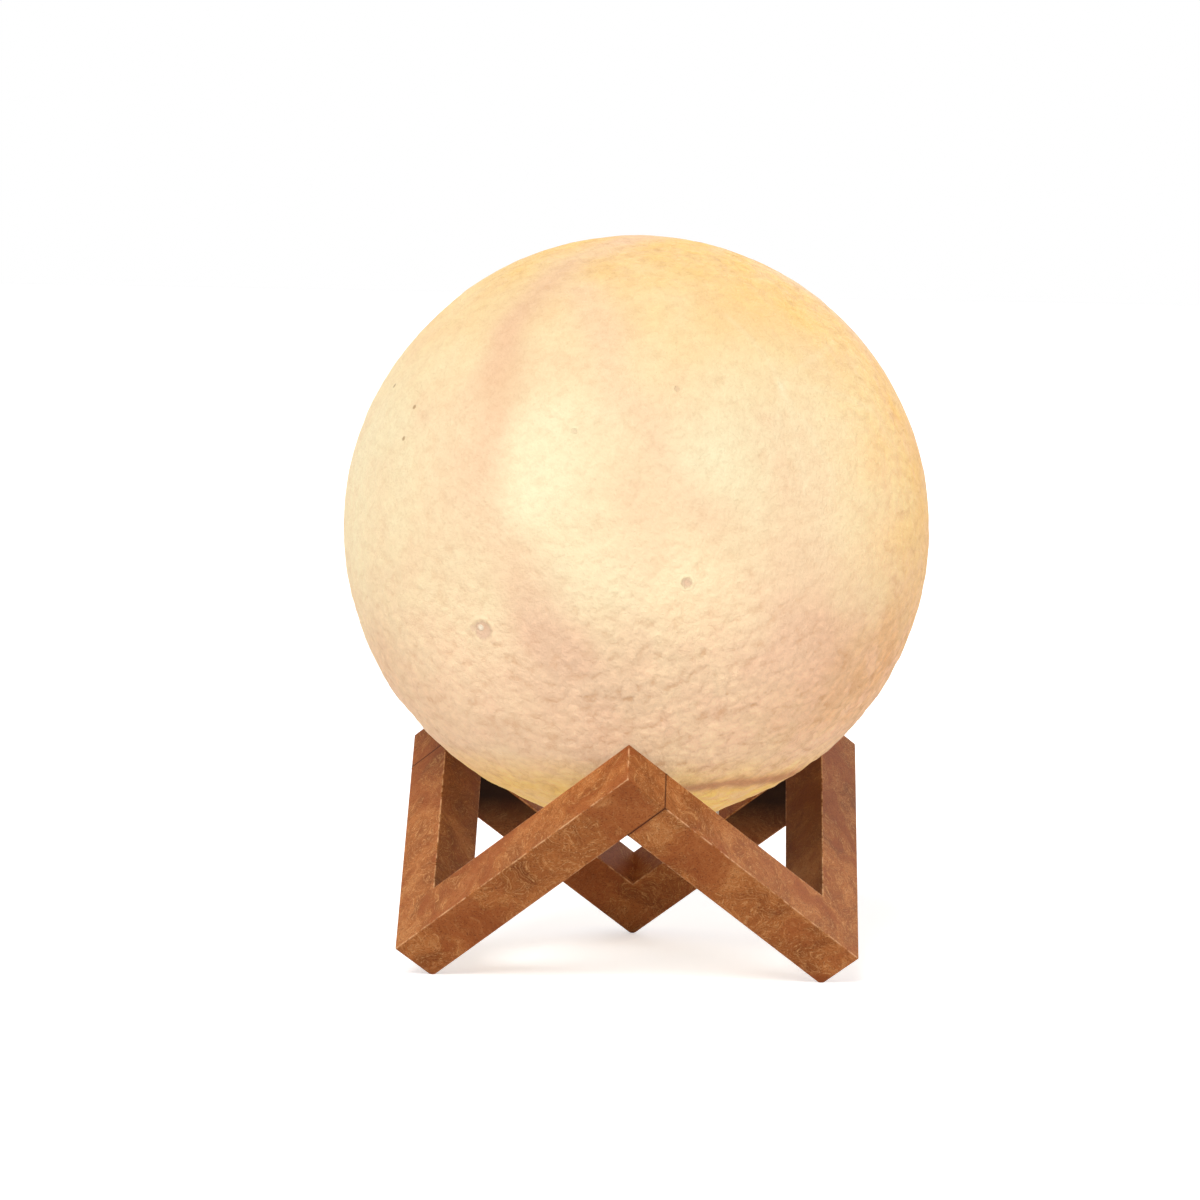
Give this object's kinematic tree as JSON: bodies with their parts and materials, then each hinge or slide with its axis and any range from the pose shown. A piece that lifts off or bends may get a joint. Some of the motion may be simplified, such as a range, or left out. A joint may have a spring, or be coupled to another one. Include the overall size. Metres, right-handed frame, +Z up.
{
  "type": "moon lamp",
  "caption": "Moon-shaped globe lamp with a cratered shell that glows from inside, resting on a low zigzag stand of square wooden bars. It lifts off, turns and has a push button underneath.",
  "frame": {"origin": "on the table under the globe's centre, where the lamp's axis meets the plane of the three feet", "axes": "+Z up along the lamp's axis; -Y towards the viewer, with one top joint of the stand in front and one leg behind; +X to the viewer's right"},
  "size_m": [0.15, 0.15, 0.1866],
  "materials": {
    "stained_wood": "satin",
    "dowel_wood": "matte",
    "warm_white_print": "matte",
    "white_plastic": "matte",
    "zinc_steel": "satin",
    "green_board": "satin",
    "socket_steel": "satin",
    "black_plastic": "matte",
    "button_plastic": "gloss",
    "chip_resin": "matte",
    "coil_ferrite": "matte",
    "capacitor_ceramic": "satin",
    "green_led": "gloss",
    "clear_acrylic": "gloss",
    "pouch_foil": "satin",
    "foam_tape": "matte",
    "lead_sleeve": "satin",
    "natural_nylon": "satin",
    "white_metal_board": "satin",
    "led_phosphor": "gloss"
  },
  "bodies": {
    "stand": {"stand_left_v": "stained_wood", "stand_right_v": "stained_wood", "stand_back_v": "stained_wood", "stand_dowels": "dowel_wood"},
    "light_module": {"base_cap": "white_plastic", "module_housing": "white_plastic", "housing_screws": "zinc_steel", "control_board": "green_board", "charge_socket": "socket_steel", "socket_tongue": "black_plastic", "tact_switch": "black_plastic", "board_chips": "chip_resin", "power_coil": "coil_ferrite", "board_capacitors": "capacitor_ceramic", "indicator_led": "green_led", "light_pipe": "clear_acrylic", "battery_cell": "pouch_foil", "battery_pad": "foam_tape", "battery_leads": "lead_sleeve", "battery_plug": "natural_nylon", "battery_header": "natural_nylon", "led_board": "white_metal_board", "warm_leds": "led_phosphor", "led_board_screws": "zinc_steel", "led_leads": "lead_sleeve"},
    "moon": {"moon_shell": "warm_white_print", "neck_ring": "white_plastic"},
    "power_button": {"power_button": "button_plastic", "switch_plunger": "black_plastic"}
  },
  "joints": [
    {"name": "lamp_lift", "type": "slide", "parent": "stand", "child": "light_module", "axis": [0, 0, 1], "range_m": [0, 0.1]},
    {"name": "moon_turn", "type": "hinge", "parent": "light_module", "child": "moon", "pos_m": [0, 0, 0.11164], "axis": [0, 0, 1], "continuous": true},
    {"name": "button_press", "type": "slide", "parent": "light_module", "child": "power_button", "axis": [0, 0, 1], "range_m": [0, 0.0006], "stiffness_N_per_m": 2500, "springref_m": -0.0004}
  ]
}
